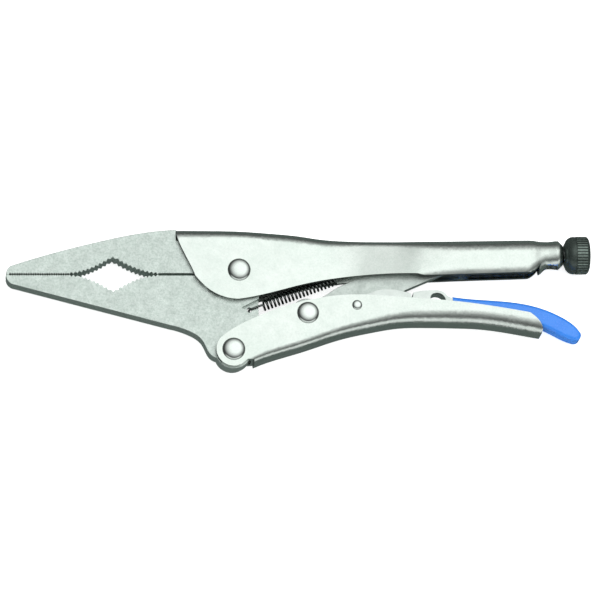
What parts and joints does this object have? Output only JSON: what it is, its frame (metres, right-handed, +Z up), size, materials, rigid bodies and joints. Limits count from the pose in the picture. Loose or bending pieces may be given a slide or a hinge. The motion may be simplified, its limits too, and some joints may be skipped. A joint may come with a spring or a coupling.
{
  "type": "locking pliers",
  "caption": "Long-nose locking pliers with toothed jaws, toggle linkage, adjusting screw and a dipped release lever, lying closed on their side.",
  "frame": {"origin": "bottom centre of the overall box, with the tool lying closed on its side", "axes": "+X along the tool from the jaw tips to the screw knob, +Y from the moving handle towards the fixed handle, +Z up through the thickness"},
  "size_m": [0.2546, 0.0618, 0.0166],
  "materials": {
    "handle_steel": "satin nickel-chrome plate on folded sheet",
    "jaw_steel": "fine blasted satin nickel",
    "rivet_steel": "bright plated rivet",
    "link_steel": "satin plated plate",
    "lever_steel": "satin plated folded sheet",
    "blue_dip": "glossy dipped vinyl",
    "spring_steel": "dark oiled spring wire",
    "screw_steel": "dark oiled thread",
    "black_oxide": "black oxide, straight knurl"
  },
  "bodies": {
    "fixed_handle": {"fixed_handle": "handle_steel", "upper_jaw": "jaw_steel", "jaw_pivot_rivet": "rivet_steel", "spring_anchor": "handle_steel", "tension_spring": "spring_steel"},
    "lower_jaw": {"lower_jaw": "jaw_steel"},
    "moving_handle": {"moving_handle": "handle_steel", "handle_pivot_rivet": "rivet_steel", "toggle_rivet": "rivet_steel", "lever_rivet": "rivet_steel"},
    "toggle_link": {"toggle_link": "link_steel"},
    "release_lever": {"release_lever": "lever_steel", "lever_sleeve": "blue_dip"},
    "adjusting_screw": {"adjusting_screw": "screw_steel"},
    "screw_knob": {"screw_knob": "black_oxide"}
  },
  "joints": [
    {"name": "handle_pivot", "type": "hinge", "parent": "lower_jaw", "child": "moving_handle", "pos_m": [-0.02965, -0.0229, 0.0083], "axis": [0, 0, -1], "range_deg": [0, 51.6]},
    {"name": "jaw_pivot", "type": "hinge", "parent": "fixed_handle", "child": "lower_jaw", "pos_m": [-0.02665, 0.0124, 0.0083], "axis": [0, 0, 1], "range_deg": [0, 16], "deforming": ["tension_spring"]},
    {"name": "toggle_pivot", "type": "hinge", "parent": "moving_handle", "child": "toggle_link", "pos_m": [0.00285, -0.0068, 0.0083], "axis": [0, 0, 1], "range_deg": [0, 56.7]},
    {"name": "lever_pivot", "type": "hinge", "parent": "moving_handle", "child": "release_lever", "pos_m": [0.02425, -0.0034, 0.0083], "axis": [0, 0, 1], "range_deg": [0, 6]},
    {"name": "screw_slide", "type": "slide", "parent": "fixed_handle", "child": "adjusting_screw", "axis": [1, 0, 0], "range_m": [0, 0.02]},
    {"name": "knob_spin", "type": "hinge", "parent": "adjusting_screw", "child": "screw_knob", "pos_m": [0.12135, 0.0205, 0.0083], "axis": [1, 0, 0], "range_deg": [0, 5670]}
  ],
  "couplings": [
    {"joint": "jaw_pivot", "follows": "handle_pivot", "ratio": 0.31008},
    {"joint": "toggle_pivot", "follows": "handle_pivot", "ratio": 1.0969},
    {"joint": "knob_spin", "follows": "screw_slide", "rad_per_m": 4947.4}
  ]
}
